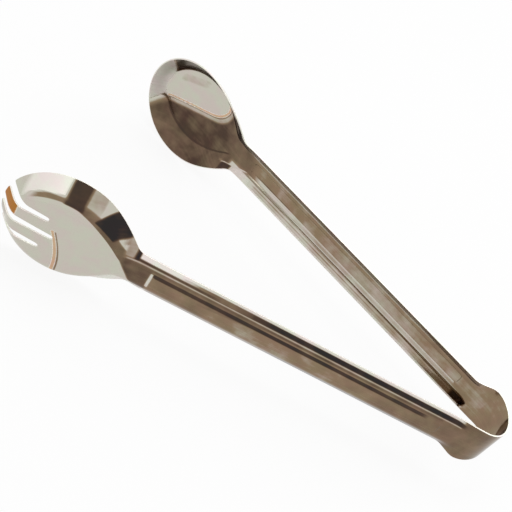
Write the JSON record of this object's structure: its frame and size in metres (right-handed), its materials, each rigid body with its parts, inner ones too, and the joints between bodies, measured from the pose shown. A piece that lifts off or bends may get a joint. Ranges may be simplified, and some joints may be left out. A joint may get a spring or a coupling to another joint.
{
  "type": "serving tongs",
  "caption": "Spring serving tongs pressed from a strip of polished sheet steel, with an oval spoon bowl on an arm and a slotted fork bowl on the other.",
  "frame": {"origin": "Under the middle of the part's box, at the height of its lowest edge: the tongs lie on their side, with the strip's width upright.", "axes": "+X runs from the bowls' tips to the spring bow, +Y points from the fork arm to the spoon arm, and +Z runs across the strip."},
  "size_m": [0.2486, 0.1462, 0.0578],
  "materials": {
    "steel": "polished stainless steel sheet with fine rub marks"
  },
  "bodies": {
    "fork_side": {"fork_arm": "steel", "spring_bow": "steel"},
    "spoon_side": {"spoon_arm": "steel"}
  },
  "joints": [
    {"name": "squeeze", "type": "hinge", "parent": "fork_side", "child": "spoon_side", "pos_m": [0.10931, 0, 0.0289], "axis": [0, 0, 1], "range_deg": [0, 31], "stiffness_Nm_per_rad": 1.5, "deforming": ["spring_bow"]}
  ]
}
